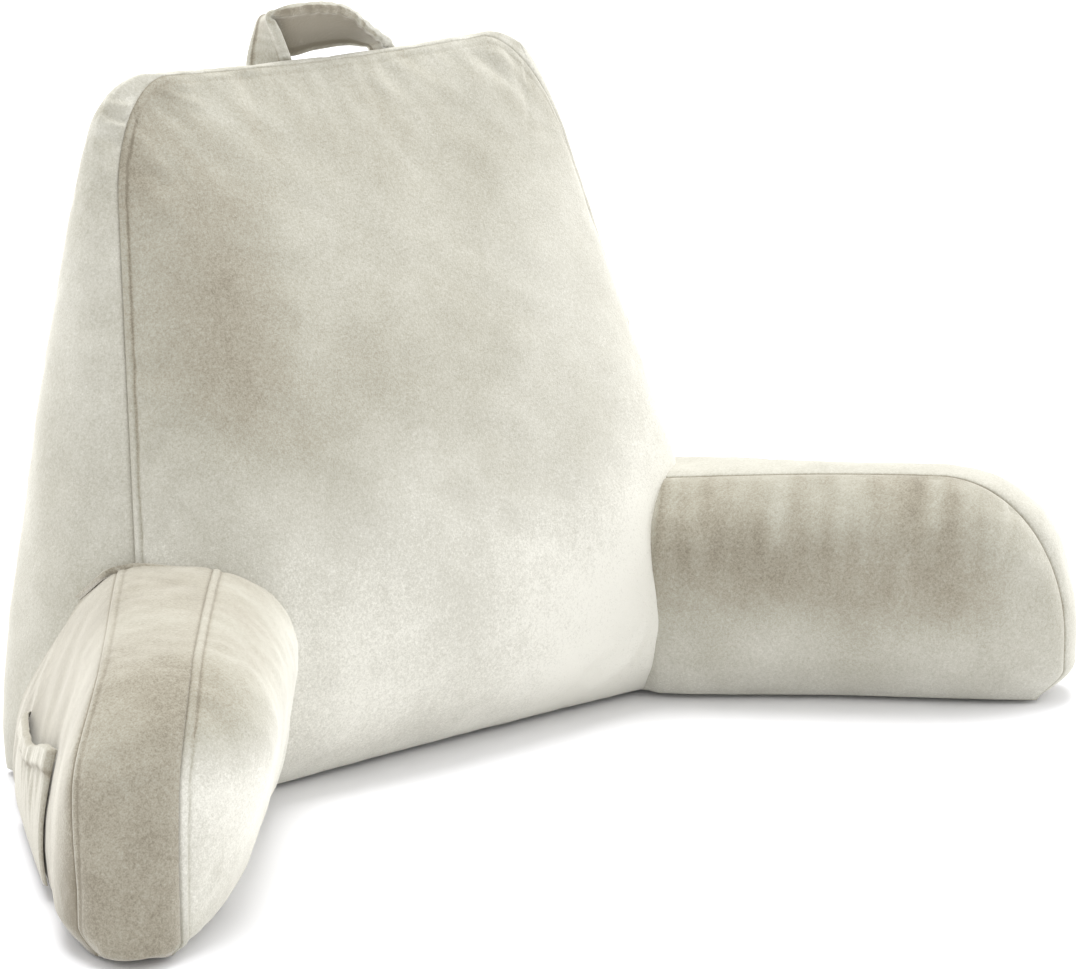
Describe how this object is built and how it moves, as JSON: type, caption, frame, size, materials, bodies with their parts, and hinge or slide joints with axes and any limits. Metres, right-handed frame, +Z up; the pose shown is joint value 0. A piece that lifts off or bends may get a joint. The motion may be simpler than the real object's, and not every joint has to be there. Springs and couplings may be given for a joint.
{
  "type": "reading pillow",
  "caption": "Stuffed wedge-shaped backrest pillow with two splayed arms, a strap handle on its top edge and a gathered side pocket, covered in short-pile plush.",
  "frame": {"origin": "on the floor, in the middle of the backrest's flat base", "axes": "+Z up; -Y towards the front, where the arms reach; +X to the object's right as seen from the front"},
  "size_m": [0.9526, 0.4546, 0.5503],
  "materials": {
    "backrest_plush": "matte short-pile plush, ivory greige",
    "arm_left_plush": "matte short-pile plush, ivory greige",
    "arm_right_plush": "matte short-pile plush, ivory greige",
    "handle_plush": "matte short-pile plush, ivory greige",
    "pocket_plush": "matte short-pile plush, ivory greige"
  },
  "bodies": {
    "root": {"backrest": "backrest_plush", "arm_left": "arm_left_plush", "arm_right": "arm_right_plush", "handle": "handle_plush", "pocket": "pocket_plush"}
  },
  "joints": []
}
